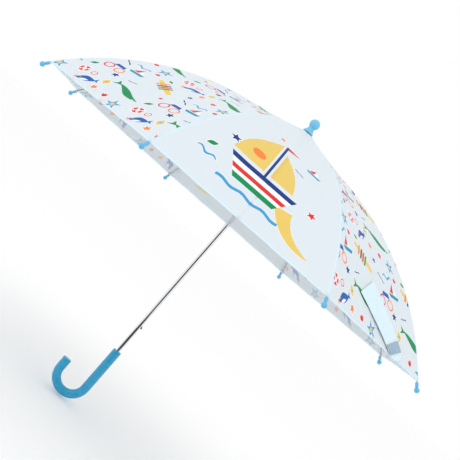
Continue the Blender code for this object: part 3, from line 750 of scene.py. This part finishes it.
def strapFlat(distance, aside):
    sine, cosine = math.sin(strap["slant"]), math.cos(strap["slant"])
    across = strap["rootAside"] + distance * cosine - aside * sine
    above = strap["rootAbove"] + distance * sine + aside * cosine
    return across, above


def strapHalfWidth(distance):
    return (strap["rootWidth"] + (strap["endWidth"] - strap["rootWidth"]) * distance / strap["length"]) / 2


def foldCrossing(column):
    sine = math.sin(strap["slant"])
    taper = (strap["endWidth"] - strap["rootWidth"]) / 2 / strap["length"]
    top = -strap["rootAside"] + column * strap["rootWidth"] / 2 * sine
    return top / (math.cos(strap["slant"]) - column * taper * sine)


def snug(step, count):
    # even steps, but the outermost ones lie close to the edge
    if step in (0, count):
        return step / count
    return 0.012 + 0.976 * (step - 1) / (count - 2)


def tapePiece(name, spans, lift, thickness, rows, margin=0):
    # spans gives each column's start and end along the strap
    columns = strap["columns"]
    layers, weights = [], []
    for upper in (False, True):
        for row in range(rows + 1):
            for step in range(columns + 1):
                column = 2 * snug(step, columns) - 1
                start, end = spans(column)
                level = snug(row, rows)
                distance = start + (end - start) * level
                aside = column * (strapHalfWidth(distance) - margin)
                across, above = strapFlat(distance, aside)
                station, share = shapedHem(across, above)
                normal = goreNormal(strap["gore"], across, station)
                bow = math.sin(math.pi * min(1, distance / strap["length"]))
                loose = strap["puff"] * bow * (1 - 0.3 * column * column)
                rise = lift + loose + (thickness * (1 - 0.5 * column ** 8) if upper else 0)
                layers.append(goreSpot(strap["gore"], across, station) + normal * rise)
                weights.append(1 - share)
    stride, count = columns + 1, (rows + 1) * (columns + 1)
    faces = []
    for row in range(rows):
        for step in range(columns):
            first = row * stride + step
            faces.append([first, first + 1, first + stride + 1, first + stride])
            over = count + first
            faces.append([over, over + stride, over + stride + 1, over + 1])
    rim = list(range(stride)) + [row * stride + columns for row in range(1, rows + 1)]
    rim += [rows * stride + step for step in range(columns - 1, -1, -1)]
    rim += [row * stride for row in range(rows - 1, 0, -1)]
    for one, two in zip(rim, rim[1:] + rim[:1]):
        faces.append([one, two, two + count, one + count])
    piece = newMesh(name, layers, faces)
    shell = bmesh.new()
    shell.from_mesh(piece.data)
    bmesh.ops.recalc_face_normals(shell, faces=shell.faces)
    shell.to_mesh(piece.data)
    shell.free()
    piece.data.shade_smooth()
    return piece, weights


def strapStart(column):
    return strap["skew"] * column


def strapEnd(column):
    return strap["length"] + strap["skew"] * column - strap["rounding"] * column * column


def rootSpan(column):
    return strapStart(column), foldCrossing(column)


def freeSpan(column):
    return foldCrossing(column), strapEnd(column)


def hookSpan(column):
    start = strap["hookStart"] + strap["skew"] * column
    return start, start + strap["hookLength"]


def tapeSize(spans, margin=0):
    # a tape's flat width and length, and its flat area
    count = 40
    area, starts, lengths = 0.0, [], []
    for k in range(count):
        start, end = spans((2 * k + 1) / count - 1)
        starts.append(start)
        lengths.append(end - start)
        area += (end - start) * 2 * (strapHalfWidth((start + end) / 2) - margin) / count
    width = 2 * (strapHalfWidth(sum(starts) / count) - margin)
    return (width, max(lengths)), area


def carried(piece, finish, node):
    piece.data.materials.append(finish)
    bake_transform(piece)
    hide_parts(node)


def sewStrap():
    lift, thickness = strap["lift"], strap["thickness"]
    root, weights = tapePiece("strapRoot", rootSpan, lift, thickness, strap["rootRows"])
    carried(root, strapFinish, "strap_root")
    free, weights = tapePiece("strapFree", freeSpan, lift, thickness, strap["rows"])
    carried(free, strapFinish, "closing_strap")
    lift += thickness
    thickness, margin = strap["hookThickness"], strap["hookMargin"]
    hook, weights = tapePiece("strapHook", hookSpan, lift, thickness, strap["hookRows"], margin)
    carried(hook, hookFinish, "hook_tape")
    cut, area = tapeSize(rootSpan)
    cut, area = tapeSize(freeSpan)
    cut, area = tapeSize(hookSpan, margin)


sewStrap()
print("umbrella: strap sewn on")


def selectNothing():
    bpy.ops.object.select_all(action="DESELECT")


handle = {"radius": 0.00665, "top": 0.101, "crook": 0.0235, "tail": 0.016, "edge": 0.0011, "steps": 10}


def makeHandle():
    # a disc drawn down, spun round the crook and drawn up again to its flat end
    selectNothing()
    bottom = handle["radius"] + handle["crook"]
    place = (0, 0, handle["top"])
    bpy.ops.mesh.primitive_circle_add(vertices=40, radius=handle["radius"], fill_type="NGON", location=place)
    grip = bpy.context.object
    grip.name = "handle"
    bpy.ops.object.transform_apply(location=True, rotation=True, scale=True)
    bpy.ops.object.mode_set(mode="EDIT")
    bpy.ops.mesh.select_all(action="SELECT")
    drop = (bottom - handle["top"]) / handle["steps"]
    for _ in range(handle["steps"]):
        bpy.ops.mesh.extrude_region_move(TRANSFORM_OT_translate={"value": (0, 0, drop)})
    bpy.ops.mesh.spin(steps=40, angle=math.pi, center=(-handle["crook"], 0, bottom), axis=(0, -1, 0))
    bpy.ops.mesh.extrude_region_move(TRANSFORM_OT_translate={"value": (0, 0, handle["tail"])})
    bpy.ops.mesh.select_all(action="SELECT")
    bpy.ops.mesh.remove_doubles(threshold=0.00001)
    bpy.ops.mesh.normals_make_consistent(inside=False)
    bpy.ops.object.mode_set(mode="OBJECT")
    return grip


def bevelled(piece, width, angle=30, segments=3):
    selectNothing()
    bpy.context.view_layer.objects.active = piece
    piece.select_set(True)
    bevel = piece.modifiers.new("edges", "BEVEL")
    bevel.width = width
    bevel.segments = segments
    bevel.limit_method = "ANGLE"
    bevel.angle_limit = math.radians(angle)
    bpy.ops.object.modifier_apply(modifier=bevel.name)
    bpy.ops.object.shade_smooth_by_angle(angle=math.radians(32))


grip = makeHandle()
bevelled(grip, handle["edge"], 60, 4)
grip.data.materials.append(handleFinish)
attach(grip, "shaft")
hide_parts("handle_crook")

rosette = {
    "inner": 0.0088,
    "outer": 0.0175,
    "petals": 16,
    "rings": 5,
    "thickness": 0.0004,
    "lift": 0.0005,
    "pleat": 0.0002,
}


def crownHeight(x, y):
    # the cloth's height at a place near the shaft
    azimuth = math.atan2(y, x)
    gore = math.floor((azimuth - canopy["firstAzimuth"]) / canopy["sector"]) + 1
    turn = azimuth - canopy["firstAzimuth"] - canopy["sector"] * (gore - 0.5)
    reach = math.hypot(x, y)
    out = reach * math.cos(turn) / math.cos(canopy["sector"] / 2)
    station = (out - canopy["hingeRadius"]) / math.cos(canopy["startSlope"])
    return goreSpot(gore, reach * math.sin(turn), station).z


def makeRosette():
    # a pinked circle of the canopy's cloth, pleated under the ferrule's foot
    selectNothing()
    bpy.ops.mesh.primitive_circle_add(vertices=96, radius=rosette["inner"], fill_type="NOTHING")
    disc = bpy.context.object
    disc.name = "crownRosette"
    bpy.ops.object.mode_set(mode="EDIT")
    step = (rosette["outer"] / rosette["inner"]) ** (1 / rosette["rings"])
    for _ in range(rosette["rings"]):
        bpy.ops.mesh.select_all(action="DESELECT")
        shape = bmesh.from_edit_mesh(disc.data)
        reach = max(vertex.co.xy.length for vertex in shape.verts)
        for vertex in shape.verts:
            vertex.select = vertex.co.xy.length > reach - 1e-6
        shape.select_flush(True)
        bmesh.update_edit_mesh(disc.data)
        bpy.ops.mesh.extrude_edges_move()
        bpy.ops.transform.resize(value=(step, step, 1), center_override=(0, 0, 0))
    bpy.ops.object.mode_set(mode="OBJECT")
    span = rosette["outer"] - rosette["inner"]
    for vertex in disc.data.vertices:
        out = vertex.co.xy.length
        share = (out - rosette["inner"]) / span
        angle = math.atan2(vertex.co.y, vertex.co.x)
        wave = math.cos(rosette["petals"] * angle)
        vertex.co.xy *= 1 + 0.05 * share * wave
        height = crownHeight(vertex.co.x, vertex.co.y) + rosette["lift"]
        vertex.co.z = height + rosette["pleat"] * share * (1 + wave)
    solid = disc.modifiers.new("cloth", "SOLIDIFY")
    solid.thickness = rosette["thickness"]
    solid.offset = 1
    bpy.context.view_layer.objects.active = disc
    bpy.ops.object.modifier_apply(modifier=solid.name)
    bpy.ops.object.mode_set(mode="EDIT")
    bpy.ops.mesh.select_all(action="SELECT")
    bpy.ops.mesh.normals_make_consistent(inside=False)
    bpy.ops.object.mode_set(mode="OBJECT")
    bpy.ops.object.shade_smooth_by_angle(angle=math.radians(32))
    disc.data.materials.append(strapFinish)
    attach(disc, "shaft")


makeRosette()

nodeFinishes = {
    "shaft_tube": chromeFinish,
    "top_ferrule": ferruleFinish,
    "notch": collarFinish,
    "runner": collarFinish,
    "notch_wire": wireFinish,
    "notch_pin": wireFinish,
    "runner_wire": wireFinish,
    "top_catch": wireFinish,
    "bottom_catch": wireFinish,
}
for number in range(1, canopy["ribs"] + 1):
    nodeFinishes[f"rib_{number}"] = ribFinish
    nodeFinishes[f"stretcher_{number}"] = ribFinish
    nodeFinishes[f"rib_tip_{number}"] = tipFinish
for node, finish in nodeFinishes.items():
    part = bpy.data.objects[node]
    for slotOfPart in part.material_slots:
        slotOfPart.material = finish
print("umbrella: hard pieces finished")

studio = {
    "floor": 60.0,
    "world": 1.0,
    "aim": (0, 0, 0.35),
    "key": {"place": (-0.9, -1.6, 1.9), "size": 1.4, "power": 5.0},
    "fill": {"place": (1.6, -1.0, 0.9), "size": 1.6, "power": 0.6},
    "cardBehind": {"place": (0.25, -3.0, 0.6), "turn": math.pi / 2, "size": (3.4, 3.4)},
    "cardBelow": {"place": (0.15, -1.75, 0.001), "turn": 0, "size": (2.0, 2.6)},
}
view = {
    "place": (-0.0206, -1.3964, 0.3136),
    "forward": (-0.024, 1.0, 0.02),
    "upward": (-0.657, -0.031, 0.753),
    "lens": 75.8,
    "shift": (0.0665, -0.0652),
}


def makeStage():
    selectNothing()
    bpy.ops.mesh.primitive_plane_add(size=studio["floor"], location=(0, 0, -0.002))
    floor = bpy.context.object
    floor.name = "floor"
    material, _, _ = newMaterial("paleFloor", (0.985, 0.985, 0.985), 0.95)
    floor.data.materials.append(material)


def makeCard(name, place, turn, size):
    # a dark card, seen only as the dark line down the bright metal
    selectNothing()
    bpy.ops.mesh.primitive_plane_add(size=1, location=place, rotation=(turn, 0, 0))
    card = bpy.context.object
    card.name = name
    card.scale = (*size, 1)
    material, _, _ = newMaterial(name + "Black", (0.01, 0.01, 0.012), 0.9)
    card.data.materials.append(material)
    card.visible_diffuse = False
    card.visible_camera = False
    card.visible_shadow = False


def areaLight(name, place, size, power):
    light = bpy.data.lights.new(name, "AREA")
    light.energy = power
    light.size = size
    lamp = bpy.data.objects.new(name, light)
    lamp.location = place
    lamp.rotation_euler = (Vector(studio["aim"]) - Vector(place)).to_track_quat("-Z", "Y").to_euler()
    bpy.context.scene.collection.objects.link(lamp)


def makeCamera():
    camera = bpy.data.cameras.new("camera")
    camera.lens = view["lens"]
    camera.sensor_width = 36
    camera.shift_x, camera.shift_y = view["shift"]
    forward = Vector(view["forward"]).normalized()
    upward = Vector(view["upward"])
    right = forward.cross(upward).normalized()
    upward = right.cross(forward)
    turn = Matrix((right, upward, -forward)).transposed().to_4x4()
    holder = bpy.data.objects.new("camera", camera)
    holder.matrix_world = Matrix.Translation(view["place"]) @ turn
    bpy.context.scene.collection.objects.link(holder)
    bpy.context.scene.camera = holder


makeStage()
makeCard("cardBehind", **studio["cardBehind"])
makeCard("cardBelow", **studio["cardBelow"])
areaLight("key", **studio["key"])
areaLight("fill", **studio["fill"])
makeCamera()
world = bpy.data.worlds.new("studio")
world.use_nodes = True
world.node_tree.nodes["Background"].inputs["Color"].default_value = (1, 1, 1, 1)
world.node_tree.nodes["Background"].inputs["Strength"].default_value = studio["world"]
bpy.context.scene.world = world
bpy.context.scene.view_settings.view_transform = "Standard"  # inks and whites as they are

print("umbrella: ready")
